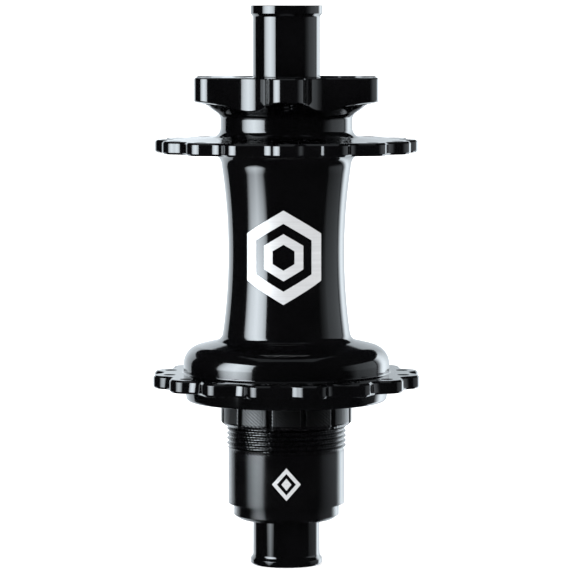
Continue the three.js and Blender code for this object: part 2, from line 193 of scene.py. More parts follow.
def turned_rows(corners, columns=COLUMNS):
    return [circle(r, z, columns) for r, z in rounded_path(corners)]


def arc(centre, radius, start, end, steps):
    angle = np.radians(np.linspace(start, end, steps))
    return np.stack([centre[0] + radius * np.cos(angle), centre[1] + radius * np.sin(angle)], axis=1)


def polar(radius, degrees):
    return (radius * math.cos(math.radians(degrees)), radius * math.sin(math.radians(degrees)))


def lobed_outline(lobes, tip, lobe, valley, distance):
    """Round lobes joined by concave valleys, moved inwards by a distance.

    Gives COLUMNS points, evenly spaced along each lobe and valley, from the tip of the front lobe.
    """
    half = 180 / lobes
    middle = tip - lobe
    along, across = polar(middle, half)
    excess = middle**2 + valley**2 - 2 * valley * along - lobe**2
    valley_radius = excess / (2 * (lobe + along - valley))
    valley_centre = valley + valley_radius
    opening = math.degrees(math.atan2(across, valley_centre - along))
    deepest = half + 180
    steps = 400
    tip_arc = arc(polar(middle, 0), lobe - distance, 0, half + opening, steps)
    valley_middle = polar(valley_centre, half)
    valley_arc = arc(valley_middle, valley_radius + distance, deepest + opening, deepest, steps)
    fine = np.concatenate([tip_arc, valley_arc[1:]])
    travelled = np.concatenate([[0], np.cumsum(np.hypot(*np.diff(fine, axis=0).T))])
    spots = np.linspace(0, travelled[-1], COLUMNS // (2 * lobes) + 1)
    radius = np.interp(spots, travelled, np.hypot(fine[:, 0], fine[:, 1]))
    angle = np.interp(spots, travelled, np.arctan2(fine[:, 1], fine[:, 0]))
    radii = np.tile(np.concatenate([radius[:-1], radius[:0:-1]]), lobes)
    pair = np.concatenate([angle[:-1], math.radians(2 * half) - angle[:0:-1]])
    angles = np.concatenate([pair + math.radians(2 * half * k - 90) for k in range(lobes)])
    return radii * np.cos(angles), radii * np.sin(angles)


def rotor_outline(distance):
    tip = ROTOR["circle"] + ROTOR["lobe"]
    return lobed_outline(ROTOR["lobes"], tip, ROTOR["lobe"], ROTOR["valley"], distance)


def flange_ring(flange, distance, z):
    """The rim of a spoke flange at height z, moved inwards by a distance.

    A tapered cutter makes the valleys deeper higher up.
    """
    valley = flange["valley"] - flange["taper"] * (z - (flange["top"] + flange["bottom"]) / 2)
    x, y = lobed_outline(SPOKES["count"], flange["radius"], SPOKES["lobe"], valley, distance)
    turn = math.radians(flange["lobe_phase"])
    columns = round(COLUMNS * flange["lobe_phase"] / 360)
    turned_x = x * math.cos(turn) - y * math.sin(turn)
    turned_y = x * math.sin(turn) + y * math.cos(turn)
    return ring(np.roll(turned_x, columns), np.roll(turned_y, columns), z)


# ---- meshes ----


def closed_mesh(name, rows):
    """A ring-shaped solid from rows of points round the axle, the last row joined to the first."""
    count = len(rows[0])
    points = np.concatenate(rows) * MM
    faces = []
    for i in range(len(rows)):
        low, high = i * count, (i + 1) % len(rows) * count
        for j in range(count):
            k = (j + 1) % count
            faces.append((low + j, low + k, high + k, high + j))
    mesh = bpy.data.meshes.new(name)
    mesh.from_pydata(points.tolist(), [], faces)
    piece = bpy.data.objects.new(name, mesh)
    bpy.context.scene.collection.objects.link(piece)
    face_outwards(mesh)
    return piece


def face_outwards(mesh):
    work = bmesh.new()
    work.from_mesh(mesh)
    bmesh.ops.recalc_face_normals(work, faces=work.faces)
    work.to_mesh(mesh)
    work.free()


def spool(centre, outline, sides):
    """A closed turned cutter on a line parallel to the axle: vertices and faces."""
    angle = np.linspace(0, 2 * math.pi, sides, endpoint=False)
    cx, cy = centre
    points = [(cx + r * math.cos(a), cy + r * math.sin(a), z) for r, z in outline for a in angle]
    top_ring = (len(outline) - 1) * sides
    faces = [tuple(range(sides))[::-1], tuple(range(top_ring, top_ring + sides))]
    for i in range(len(outline) - 1):
        for j in range(sides):
            k = (j + 1) % sides
            faces.append((i * sides + j, i * sides + k, (i + 1) * sides + k, (i + 1) * sides + j))
    return points, faces


def prism(outline, bottom, top):
    """A closed upright prism over an outline: vertices and faces."""
    count = len(outline)
    points = [(x, y, z) for z in (bottom, top) for x, y in outline]
    faces = [tuple(range(count))[::-1], tuple(range(count, 2 * count))]
    faces += [(j, (j + 1) % count, count + (j + 1) % count, count + j) for j in range(count)]
    return points, faces


def cut(piece, solids):
    """Takes closed solids out of a piece."""
    points, faces = [], []
    for solid_points, solid_faces in solids:
        start = len(points)
        points += [tuple(c * MM for c in p) for p in solid_points]
        faces += [tuple(start + i for i in face) for face in solid_faces]
    mesh = bpy.data.meshes.new("cutter")
    mesh.from_pydata(points, [], faces)
    face_outwards(mesh)
    cutter = bpy.data.objects.new("cutter", mesh)
    bpy.context.scene.collection.objects.link(cutter)
    modifier = piece.modifiers.new("cut", "BOOLEAN")
    modifier.operation = "DIFFERENCE"
    modifier.solver = "EXACT"
    modifier.object = cutter
    evaluated = piece.evaluated_get(bpy.context.evaluated_depsgraph_get())
    result = bpy.data.meshes.new_from_object(evaluated)
    piece.modifiers.clear()
    result.name = piece.name
    piece.data = result
    bpy.data.objects.remove(cutter)


def finish_piece(piece, body, slot, material, *nodes):
    """Smooth shading with crisp edges, a material, and the CAD body and nodes that the piece stands for."""
    piece.data.shade_smooth()
    piece.data.set_sharp_from_angle(angle=math.radians(32))
    weighted = piece.modifiers.new("face normals", "WEIGHTED_NORMAL")
    weighted.keep_sharp = True
    piece.data.materials.clear()
    piece.data.materials.append(material)
    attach(piece, body)
    if nodes:
        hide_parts(*nodes)


# ---- hub shell ----


def under_rotor():
    """The underside of the rotor mount and the neck below it, from the rim inwards."""
    rim = ROTOR["circle"] + ROTOR["lobe"] + 0.3
    return [
        (rim, ROTOR["rim_bottom"], 0),
        (*ROTOR["knee"], 2.0),
        (NECK["radius"], NECK["top"], 2.0),
        (NECK["radius"], NECK["bottom"], 2.6),
        (FLANGE_FLAT["brake"], BRAKE_FLANGE["top"], 0),
    ]


def rotor_rows():
    """Rows from the bore of the rotor mount over its face, down its walls and in along its underside."""
    chamfer, cone_start = ROTOR["chamfer"], NECK["cone_start"]
    profile = np.array(rounded_path(under_rotor()))
    slope = profile[profile[:, 1] > NECK["top"] - 0.5][::-1]
    rows = [circle(BORE["seat"] + 0.4, ROTOR["face"])]
    for distance, z in ((1.2, 0), (chamfer, 0), (0, chamfer)):
        rows.append(ring(*rotor_outline(distance), ROTOR["face"] - z))
    for turn in np.radians(np.linspace(0, 90, 6)):
        wall_x, wall_y = rotor_outline(chamfer * (1 - math.cos(turn)))
        under = np.interp(np.hypot(wall_x, wall_y), slope[:, 0], slope[:, 1])
        rows.append(ring(wall_x, wall_y, under + chamfer * (1 - math.sin(turn))))
    edge_x, edge_y = rotor_outline(chamfer)
    inner = circle(cone_start, 0)
    for share in np.linspace(0, 1, 15)[1:]:
        x = edge_x + (inner[:, 0] - edge_x) * share
        y = edge_y + (inner[:, 1] - edge_y) * share
        rows.append(ring(x, y, np.interp(np.hypot(x, y), slope[:, 0], slope[:, 1])))
    rows += [circle(r, z) for r, z in profile if r < cone_start or z < NECK["top"]]
    return rows


def rim_rows(flange):
    """Rows over the rim of a spoke flange, from its upper face to its lower face, with chamfered edges."""
    inset, rounding = 1.4, 0.15
    corners = [
        (-inset, flange["top"], 0),
        (-FLANGE_CHAMFER, flange["top"], rounding),
        (0, flange["top"] - FLANGE_CHAMFER, rounding),
        (0, flange["bottom"] + FLANGE_CHAMFER, rounding),
        (-FLANGE_CHAMFER, flange["bottom"], rounding),
        (-inset, flange["bottom"], 0),
    ]
    return [flange_ring(flange, -x, z) for x, z in rounded_path(corners)]


def waist_radius(z):
    """The waist is one long arc, thinnest at its own height."""
    return WAIST["radius"] + WAIST["bow"] - np.sqrt(WAIST["bow"] ** 2 - (z - WAIST["height"]) ** 2)


def waist_corners():
    heights = np.linspace(WAIST["top"], WAIST["bottom"], 30)
    return [(waist_radius(z), z, 0) for z in heights]


def shell_bore():
    """The collar, the seat of the drive ring, both bearing seats and the tube between them."""
    return [
        (COLLAR["top_radius"], DRIVE_FLANGE["bottom"], 0.2),
        (COLLAR["radius"], COLLAR["bottom"], 1.0),
        (BORE["ring"], COLLAR["bottom"], 0.25),
        (BORE["ring"], BORE["ring_top"], 0),
        (BORE["web"], BORE["ring_top"], 0.2),
        (BORE["web"], SEATS["drive_bottom"], 0),
        (BORE["seat"], SEATS["drive_bottom"], 0.1),
        (BORE["seat"], SEATS["drive_top"], 0),
        (BORE["tube"], SEATS["drive_top"], 0.2),
        (BORE["tube"], SEATS["brake_bottom"], 0.2),
        (BORE["seat"], SEATS["brake_bottom"], 0),
        (BORE["seat"], ROTOR["face"] - 0.4, 0),
    ]


def spoke_holes(flange):
    hole, sink = SPOKES["hole"], SPOKES["countersink"]
    outline = [
        (hole + sink + 0.5, flange["bottom"] - 0.5),
        (hole, flange["bottom"] + sink),
        (hole, flange["top"] - sink),
        (hole + sink + 0.5, flange["top"] + 0.5),
    ]
    phase = flange["lobe_phase"] - 90
    turns = [phase + 360 * k / SPOKES["count"] for k in range(SPOKES["count"])]
    return [spool(polar(SPOKES["circle"], turn), outline, 28) for turn in turns]


def bolt_holes():
    """Threaded holes through the lobes: a stack of shallow grooves under a countersunk mouth."""
    crest, root, top, pitch = ROTOR["bolt"], ROTOR["bolt"] + 0.3, ROTOR["face"], ROTOR["bolt_pitch"]
    start = top - ROTOR["bolt_depth"] + 0.7
    outline = [(crest, top - ROTOR["bolt_depth"])]
    for k in range(12):
        outline += [(crest, start + pitch * k), (root, start + pitch * (k + 0.5))]
    outline += [(crest, top - 0.6), (root + 0.1, top - 0.1), (root + 0.1, top + 0.5)]
    turns = [-90 + 60 * k for k in range(ROTOR["lobes"])]
    return [spool(polar(ROTOR["circle"], turn), outline, 32) for turn in turns]


def make_shell(material):
    flange_to_waist = [
        (FLANGE_FLAT["brake"], BRAKE_FLANGE["bottom"], 0),
        (17.25, BRAKE_FLANGE["bottom"], 3.6),
        *waist_corners()[:1],
    ]
    waist_to_flange = [
        *waist_corners()[-1:],
        (17.3, BULB["shoulder"], 2.5),
        (BULB["radius"], BULB["corner"], 5.0),
        (BULB["radius"], DRIVE_FLANGE["top"], 0.5),
        (FLANGE_FLAT["drive"], DRIVE_FLANGE["top"], 0),
    ]
    rows = rotor_rows()
    rows += rim_rows(BRAKE_FLANGE)
    rows += turned_rows(flange_to_waist)
    rows += turned_rows(waist_corners()[1:-1])
    rows += turned_rows(waist_to_flange)
    rows += rim_rows(DRIVE_FLANGE)
    rows += turned_rows([(FLANGE_FLAT["drive"], DRIVE_FLANGE["bottom"], 0), *shell_bore()])
    shell = closed_mesh("shell_body", rows)
    cut(shell, spoke_holes(BRAKE_FLANGE) + spoke_holes(DRIVE_FLANGE) + bolt_holes())
    finish_piece(shell, "shell", "shell_anodised", material, "hub_shell")


# ---- freehub ----


def thread_rows():
    """A right-hand helical thread that fades in at its foot and runs out at the splines."""
    angle = column_angles(COLUMNS)
    share = np.arange(COLUMNS) / COLUMNS
    low, high = FREEHUB["thread_bottom"], FREEHUB["thread_top"]
    depth = FREEHUB["thread_crest"] - FREEHUB["thread_root"]
    rows = []
    for z in np.arange(low, high, 0.08):
        phase = (z / FREEHUB["thread_pitch"] - share) % 1
        tooth = np.clip(1.25 - 3.0 * np.abs(phase - 0.5), 0, 1)
        fade = min(1.0, (z - low) / 0.6, (high - z) / 0.5)
        radius = FREEHUB["thread_root"] + depth * tooth * max(fade, 0)
        rows.append(ring(radius * np.cos(angle), radius * np.sin(angle), z))
    return rows


def spline_ring(drop, z):
    """The splined ring at height z: wide lands, lowered by `drop`, with narrow square grooves between."""
    angle = column_angles(COLUMNS)
    pitch = 2 * math.pi / SPLINES["count"]
    from_groove = (angle + math.pi / 2 + pitch) % pitch - pitch / 2
    crest, root = FREEHUB["spline"] - drop, FREEHUB["spline_root"]
    half = SPLINES["groove"] / 2 / crest
    depth = np.clip((half - np.abs(from_groove)) / 0.012, 0, 1)
    radius = crest - (crest - min(root, crest)) * (depth * depth * (3 - 2 * depth))
    return ring(radius * np.cos(angle), radius * np.sin(angle), z)


def spline_rows():
    """The splined ring, rising out of the thread and chamfered at its upper edge."""
    bottom, top = FREEHUB["spline_bottom"], FREEHUB["spline_top"]
    full = FREEHUB["spline"] - FREEHUB["spline_root"]
    corners = [
        (-full, FREEHUB["thread_top"], 0),
        (0, bottom, 0.2),
        (0, top - 0.35, 0.1),
        (-0.35, top, 0.1),
        (-full, top, 0),
    ]
    return [spline_ring(-x, z) for x, z in rounded_path(corners)]


def pawl_pockets():
    """The pocket of each pawl: a round socket and the window it swings out through."""
    tip = PAWL["tip_angle"]
    window = [
        (15.15, -0.2),
        (20, -0.2),
        (20, 9),
        polar(17.4, tip + 3.5),
        polar(15.6, tip - 2),
        (15.15, 2),
    ]
    socket = arc((PAWL["pivot"], 0), PAWL["socket"], 0, 360, 33)[:-1]
    solids = []
    for k in range(PAWL["count"]):
        turn = math.radians(-90 + 60 * k)
        spin = np.array([[math.cos(turn), math.sin(turn)], [-math.sin(turn), math.cos(turn)]])
        for outline in (np.array(window), socket):
            solids.append(prism([tuple(p) for p in outline @ spin], PAWL["bottom"], PAWL["top"]))
    return solids


def make_freehub(material):
    lower = [
        (10.9, FREEHUB["bottom"], 0.1),
        (FREEHUB["end"], FREEHUB["bottom"], 0.15),
        (FREEHUB["step"], FREEHUB["step_bottom"], 0.15),
        (FREEHUB["step"], FREEHUB["step_top"], 0.12),
        (FREEHUB["barrel"], FREEHUB["step_top"] + 0.15, 0.12),
        (FREEHUB["barrel"], FREEHUB["thread_bottom"] - 0.35, 0),
        (FREEHUB["thread_root"], FREEHUB["thread_bottom"] - 0.1, 0),
    ]
    upper = [
        (FREEHUB["neck"] - 0.9, FREEHUB["spline_top"] + 0.02, 0),
        (FREEHUB["neck"], FREEHUB["spline_top"] + 0.1, 0),
        (FREEHUB["neck"], FREEHUB["ratchet_bottom"] - 0.3, 0),
        (FREEHUB["ratchet"], FREEHUB["ratchet_bottom"], 0.1),
        (FREEHUB["ratchet"], FREEHUB["top"], 0.4),
        (14.03, FREEHUB["top"], 0.3),
        (14.03, 46.48, 0),
        (12.1, 46.48, 0.2),
        (12.1, 19.3, 0),
        (12.78, 19.3, 0),
        (12.78, 18.25, 0),
        (12.03, 18.25, 0),
        (12.03, 13.18, 0),
        (10.9, 13.18, 0.1),
    ]
    rows = turned_rows(lower) + thread_rows() + spline_rows() + turned_rows(upper)
    freehub = closed_mesh("freehub_driver", rows)
    cut(freehub, pawl_pockets())
    finish_piece(freehub, "freehub", "freehub_anodised", material, "freehub_body")


# ---- end caps, axle and the rings seen at the ends ----


def make_brake_cap(material):
    low, bore = CAP["brake_bottom"], AXLE["radius"] + 0.03
    corners = [
        (bore, low, 0),
        (9.2, low, 0),
        (9.2, low + 0.25, 0),
        (CAP["dust_flange"], low + 0.25, 0.1),
        (CAP["dust_flange"], low + 0.95, 0.15),
        (CAP["tube"], low + 1.05, 0.3),
        (CAP["tube"], HUB_LENGTH - 2.9, 0.5),
        (CAP["lip"], HUB_LENGTH - 2.15, 0.12),
        (CAP["lip"], HUB_LENGTH, 0.18),
        (AXLE["bore"], HUB_LENGTH, 0.35),
        (AXLE["bore"], AXLE["top"] + 0.02, 0),
        (bore, AXLE["top"] + 0.02, 0),
        (bore, low + 0.3, 0),
    ]
    cap = closed_mesh("brake_end_cap", turned_rows(corners, 256))
    finish_piece(cap, "brake_cap", "cap_anodised", material, "end_cap_brake")


def make_drive_cap(material):
    top, bore = CAP["drive_top"], AXLE["radius"] + 0.03
    corners = [
        (AXLE["bore"], AXLE["bottom"] - 0.02, 0),
        (AXLE["bore"], 0, 0.35),
        (CAP["foot"], 0, 0.12),
        (CAP["lip"], 0.4, 0.15),
        (CAP["lip"], 1.5, 0.12),
        (CAP["tube"], 2.5, 1.2),
        (CAP["tube"], 12.35, 0.2),
        (10.45, 12.45, 0.08),
        (10.45, top - 0.1, 0.08),
        (8.7, top - 0.1, 0),
        (8.7, top, 0),
        (bore, top, 0),
        (bore, AXLE["bottom"] - 0.02, 0),
    ]
    cap = closed_mesh("drive_end_cap", turned_rows(corners, 256))
    finish_piece(cap, "drive_cap", "cap_anodised", material, "end_cap_drive")


def o_ring_groove(z):
    """A square groove in the axle, passed upwards."""
    outer, root, half = AXLE["radius"], O_RING_GROOVE["root"], O_RING_GROOVE["half_width"]
    return [(outer, z - half, 0), (root, z - half, 0), (root, z + half, 0), (outer, z + half, 0)]


def make_axle(material):
    outer, bore, shoulder = AXLE["radius"], AXLE["bore"], 8.75
    corners = [
        (bore, AXLE["bottom"], 0.3),
        (outer, AXLE["bottom"], 0.3),
        *o_ring_groove(O_RING_GROOVE["from_end"]),
        (outer, SEATS["drive_top"], 0),
        (shoulder, SEATS["drive_top"], 0.2),
        (shoulder, SEATS["brake_bottom"], 0.2),
        (outer, SEATS["brake_bottom"], 0),
        *o_ring_groove(HUB_LENGTH - O_RING_GROOVE["from_end"]),
        (outer, AXLE["top"], 0.3),
        (bore, AXLE["top"], 0.3),
        (bore, AXLE["top"] - 1, 0),
    ]
    tube = closed_mesh("axle_tube", turned_rows(corners, 192))
    finish_piece(tube, "axle", "axle_aluminium", material, "axle")


def make_lip_seal(material):
    corners = [
        (17.28, 45.55, 0),
        (17.28, 44.15, 0.1),
        (21.2, 44.3, 0.3),
        (22.85, 43.95, 0.1),
        (22.85, 44.5, 0.1),
        (21.9, 45.1, 0.3),
        (20.0, 45.55, 0.2),
        (17.4, 45.55, 0),
    ]
    seal = closed_mesh("lip_seal_ring", turned_rows(corners, 256))
    finish_piece(seal, "freehub", "seal_rubber", material, "lip_seal")


def make_outer_race(material):
    low, high, groove = 121.0, 128.0, 12.45
    corners = [
        (11.95, low, 0.1),
        (14.0, low, 0.3),
        (14.0, high, 0.3),
        (11.95, high, 0.1),
        (11.95, 125.8, 0),
        (groove, 124.5, 0),
        (11.95, 123.2, 0),
        (11.95, low + 0.2, 0),
    ]
    race = closed_mesh("brake_bearing_race", turned_rows(corners, 192))
    finish_piece(race, "shell", "bearing_steel", material, "outer_race_brake")


# ---- plain marks in place of the maker's ----


def barrel_radius(z):
    return np.full_like(z, FREEHUB["barrel"])


def polygon_edge(corners, width, height, share):
    """Points along a polygon that stands on a corner, scaled about its middle by a share."""
    turns = np.radians(90 + 360 * np.arange(corners + 1) / corners)
    spots = np.linspace(0, corners, corners * MARKS["steps"], endpoint=False)
    across = np.interp(spots, range(corners + 1), np.cos(turns)) * width / 2 * share
    up = np.interp(spots, range(corners + 1), np.sin(turns)) * height / 2 * share
    return across, up


def make_mark(name, body, material, surface, middle, corners, size, inner, turn=0):
    """A thin polygon ring that follows a round surface at the front of the hub."""
    rows = []
    inwards = np.linspace(1, inner, 6)
    for lift, shares in ((MARKS["proud"], inwards), (MARKS["sunk"], inwards[::-1])):
        for share in shares:
            across, up = polygon_edge(corners, *size, share)
            z = middle + up
            angle = across / surface(z) + math.radians(turn - 90)
            radius = surface(z) + lift
            rows.append(ring(radius * np.cos(angle), radius * np.sin(angle), z))
    mark = closed_mesh(name, rows)
    finish_piece(mark, body, "axle_aluminium", material)


def make_marks(material):
    """Two nested hexagons on the waist and a diamond with a solid middle on the freehub barrel."""
    tall = MARKS["shell_height"]
    wide = tall * MARKS["shell_slimness"]
    z, turn = MARKS["shell_z"], MARKS["shell_turn"]
    make_mark("shell_mark_ring", "shell", material, waist_radius, z, 6, (wide, tall), 0.72, turn)
    make_mark("shell_mark_core", "shell", material, waist_radius, z, 6, (wide / 2, tall / 2), 0.55, turn)
    low = MARKS["driver_z"]
    make_mark("driver_mark_ring", "freehub", material, barrel_radius, low, 4, (7.6, 8.6), 0.66)
    make_mark("driver_mark_core", "freehub", material, barrel_radius, low, 4, (2.6, 3.2), 0.05)


# ---- materials ----


def new_material(name):
    material = bpy.data.materials.new(name)
    material.use_nodes = True
    return material, material.node_tree, material.node_tree.nodes["Principled BSDF"]


def link(tree, source, target):
    tree.links.new(source, target)


def calculate(tree, operation, *values):
    """A maths node fed with numbers or sockets."""
    node = tree.nodes.new("ShaderNodeMath")
    node.operation = operation
    for socket, value in zip(node.inputs, values):
        if isinstance(value, bpy.types.NodeSocket):
            link(tree, value, socket)
        else:
            socket.default_value = value
    return node.outputs[0]


def lathe_coordinates(tree):
    """The plain place, and a vector of reach and height that stays the same round each turned ring."""
    place = tree.nodes.new("ShaderNodeTexCoord").outputs["Object"]
    split = tree.nodes.new("ShaderNodeSeparateXYZ")
    link(tree, place, split.inputs[0])
    flat = tree.nodes.new("ShaderNodeCombineXYZ")
    link(tree, split.outputs["X"], flat.inputs["X"])
    link(tree, split.outputs["Y"], flat.inputs["Y"])
    length = tree.nodes.new("ShaderNodeVectorMath")
    length.operation = "LENGTH"
    link(tree, flat.outputs[0], length.inputs[0])
    joined = tree.nodes.new("ShaderNodeCombineXYZ")
    link(tree, length.outputs["Value"], joined.inputs["X"])
    link(tree, split.outputs["Z"], joined.inputs["Z"])
    return place, joined.outputs[0]


def noise(tree, vector, scale, detail=2.0, roughness=0.5):
    texture = tree.nodes.new("ShaderNodeTexNoise")
    texture.inputs["Scale"].default_value = scale
    texture.inputs["Detail"].default_value = detail
    texture.inputs["Roughness"].default_value = roughness
    link(tree, vector, texture.inputs["Vector"])
    return texture.outputs["Fac"]


def spread(tree, value, low, high, low_in=0.3, high_in=0.7):
    """Maps a noise value to a range."""
    mapped = tree.nodes.new("ShaderNodeMapRange")
    for name, number in zip(("From Min", "From Max", "To Min", "To Max"), (low_in, high_in, low, high)):
        mapped.inputs[name].default_value = number
    link(tree, value, mapped.inputs["Value"])
    return mapped.outputs["Result"]


def colours(tree, value, dark, light):
    """Maps a noise value to a drift between two colours."""
    ramp = tree.nodes.new("ShaderNodeValToRGB")
    ramp.color_ramp.elements[0].position = 0.3
    ramp.color_ramp.elements[0].color = (*dark, 1)
    ramp.color_ramp.elements[1].position = 0.7
    ramp.color_ramp.elements[1].color = (*light, 1)
    link(tree, value, ramp.inputs["Fac"])
    return ramp.outputs["Color"]


def mix(tree, share, first, second):
    """Blends two numbers."""
    node = tree.nodes.new("ShaderNodeMix")
    for socket, value in zip(node.inputs[:1] + node.inputs[2:4], (share, first, second)):
        if isinstance(value, bpy.types.NodeSocket):
            link(tree, value, socket)
        else:
            socket.default_value = value
    return node.outputs[0]


def stretched(tree, vector, scale):
    node = tree.nodes.new("ShaderNodeMapping")
    node.inputs["Scale"].default_value = scale
    link(tree, vector, node.inputs["Vector"])
    return node.outputs[0]


def slanted_lines(tree, place, height):
    """Fine tool lines that climb slantwise round the axle."""
    split = tree.nodes.new("ShaderNodeSeparateXYZ")
    link(tree, place, split.inputs[0])
    angle = calculate(tree, "ARCTAN2", split.outputs["Y"], split.outputs["X"])
    climb = calculate(tree, "MULTIPLY", height, 1 / (TOOL_LINES["pitch"] * MM))
    turns = calculate(tree, "MULTIPLY", angle, TOOL_LINES["starts"] / (2 * math.pi))
    phase = calculate(tree, "MULTIPLY", calculate(tree, "ADD", climb, turns), 2 * math.pi)
    return calculate(tree, "SINE", phase)


def bump(tree, height, distance, strength, below=None):
    node = tree.nodes.new("ShaderNodeBump")
    node.inputs["Strength"].default_value = strength
    node.inputs["Distance"].default_value = distance * MM
    link(tree, height, node.inputs["Height"])
    if below is not None:
        link(tree, below, node.inputs["Normal"])
    return node.outputs["Normal"]


def turned_metal(name, tones, metallic, rough, line_scale, line_depth, grain_depth):
    """Machined metal: colour drift, roughness drift, turning lines round the axle and a fine grain."""
    material, tree, shader = new_material(name)
    place, lathe = lathe_coordinates(tree)
    drift = noise(tree, place, 90, 4)
    link(tree, colours(tree, drift, *tones), shader.inputs["Base Color"])
    lines = noise(tree, lathe, line_scale, 3, 0.7)
    link(tree, spread(tree, lines, *rough), shader.inputs["Roughness"])
    grain = bump(tree, noise(tree, place, 9000, 2), 0.004, grain_depth)
    link(tree, bump(tree, lines, 0.01, line_depth, grain), shader.inputs["Normal"])
    shader.inputs["Metallic"].default_value = metallic
    shader.inputs["IOR"].default_value = COAT_IOR
    return material


def between(tree, value, low, high, soft=0.0001):
    """One where a value lies between two limits, zero outside, with soft edges."""
    above = spread(tree, value, 0, 1, low - soft, low + soft)
    below = spread(tree, value, 1, 0, high - soft, high + soft)
    return calculate(tree, "MULTIPLY", above, below)


def driver_metal(name):
    """Freehub body: glossy barrel with slanting tool lines, satin lands with fine upright scratches."""
    material, tree, shader = new_material(name)
    place, lathe = lathe_coordinates(tree)
    parts = tree.nodes.new("ShaderNodeSeparateXYZ")
    link(tree, lathe, parts.inputs[0])
    reach, height = parts.outputs["X"], parts.outputs["Z"]
    low, high, crest = FREEHUB["spline_bottom"], FREEHUB["spline_top"], FREEHUB["spline"]
    on_lands = between(tree, height, (low + 0.3) * MM, (high - 0.2) * MM)
    on_crest = spread(tree, reach, 0, 1, (crest - 0.15) * MM, (crest - 0.05) * MM)
    satin = calculate(tree, "MULTIPLY", on_lands, on_crest)
    link(tree, colours(tree, noise(tree, place, 90, 4), *ANODISED_BLACK), shader.inputs["Base Color"])
    drift = spread(tree, noise(tree, place, 260, 3), 0.09, 0.15)
    link(tree, mix(tree, satin, drift, 0.36), shader.inputs["Roughness"])
    slant = slanted_lines(tree, place, height)
    scratches = noise(tree, stretched(tree, place, (1, 1, 0.06)), 3000, 2)
    lines = bump(tree, slant, 0.02, 0.6)
    hatch = bump(tree, calculate(tree, "MULTIPLY", scratches, satin), 0.05, 1.0, lines)
    link(tree, hatch, shader.inputs["Normal"])
    return material


def rubber(name):
    material, tree, shader = new_material(name)
    place = tree.nodes.new("ShaderNodeTexCoord").outputs["Object"]
    tone = noise(tree, place, 400, 3)
    link(tree, colours(tree, tone, (0.008, 0.008, 0.008), (0.02, 0.02, 0.019)), shader.inputs["Base Color"])
    link(tree, spread(tree, noise(tree, place, 1500, 2), 0.55, 0.75), shader.inputs["Roughness"])
    link(tree, bump(tree, noise(tree, place, 5000, 3), 0.02, 0.4), shader.inputs["Normal"])
    return material


def etched_silver(name):
    """Bare metal where the black coat is etched away: pale, even and nearly matt."""
    material, tree, shader = new_material(name)
    place, lathe = lathe_coordinates(tree)
    tone = noise(tree, lathe, 1800, 3, 0.7)
    link(tree, colours(tree, tone, (0.46, 0.47, 0.48), (0.56, 0.57, 0.58)), shader.inputs["Base Color"])
    link(tree, spread(tree, noise(tree, place, 600, 3), 0.4, 0.55), shader.inputs["Roughness"])
    link(tree, bump(tree, noise(tree, place, 6000, 3), 0.01, 0.4), shader.inputs["Normal"])
    shader.inputs["Metallic"].default_value = 0.15
    return material


def shell_black(name):
    return turned_metal(name, ANODISED_BLACK, 0.0, (0.06, 0.1), 2500, 0.04, 0.01)


def cap_black(name):
    return turned_metal(name, ANODISED_BLACK, 0.0, (0.04, 0.07), 3000, 0.04, 0.01)


def bare_aluminium(name):
    return turned_metal(name, ((0.5, 0.51, 0.53), (0.64, 0.65, 0.66)), 1.0, (0.26, 0.4), 3000, 0.3, 0.2)


def ground_steel(name):
    return turned_metal(name, ((0.5, 0.5, 0.52), (0.62, 0.62, 0.64)), 1.0, (0.12, 0.22), 4000, 0.12, 0.08)


def hard_steel(name):
    return turned_metal(name, ((0.2, 0.21, 0.23), (0.3, 0.31, 0.33)), 1.0, (0.2, 0.34), 2500, 0.2, 0.2)


def blued_strip(name):
    return turned_metal(name, ((0.2, 0.24, 0.33), (0.42, 0.44, 0.48)), 1.0, (0.16, 0.28), 2000, 0.1, 0.1)


def make_materials():
    makers = {
        "shell_anodised": shell_black,
        "cap_anodised": cap_black,
        "freehub_anodised": driver_metal,
        "axle_aluminium": bare_aluminium,
        "bearing_steel": ground_steel,
        "tool_steel": hard_steel,
        "spring_steel": blued_strip,
        "seal_rubber": rubber,
        "etched_mark": etched_silver,
    }
    return {name: make(name) for name, make in makers.items()}


def dress_cad_nodes(materials):
    """Gives each CAD node the material of its slot."""
    for entry in frame["record"]["subparts"]:
        mesh = frame["nodes"][entry["node"]].data
        mesh.materials.clear()
        mesh.materials.append(materials[entry["material_slot"]])


# ---- studio ----


def make_floor():
    """A wide white paper under the hub, a little lit from within so that no contact shadow shows."""
    mesh = bpy.data.meshes.new("floor")
    corners = [(x * FLOOR_SIZE, y * FLOOR_SIZE, 0) for x, y in ((-1, -1), (1, -1), (1, 1), (-1, 1))]
    mesh.from_pydata(corners, [], [(0, 1, 2, 3)])
    floor = bpy.data.objects.new("floor", mesh)
    bpy.context.scene.collection.objects.link(floor)
    material, tree, shader = new_material("floor_paper")
    place = tree.nodes.new("ShaderNodeTexCoord").outputs["Object"]
    tone = colours(tree, noise(tree, place, 3, 2), (0.95, 0.95, 0.95), (0.97, 0.97, 0.97))
    link(tree, tone, shader.inputs["Base Color"])
    shader.inputs["Roughness"].default_value = 0.9
    shader.inputs["Emission Color"].default_value = (1, 1, 1, 1)
    shader.inputs["Emission Strength"].default_value = 0.4
    mesh.materials.append(material)
    floor.visible_glossy = False
    floor.visible_shadow = False


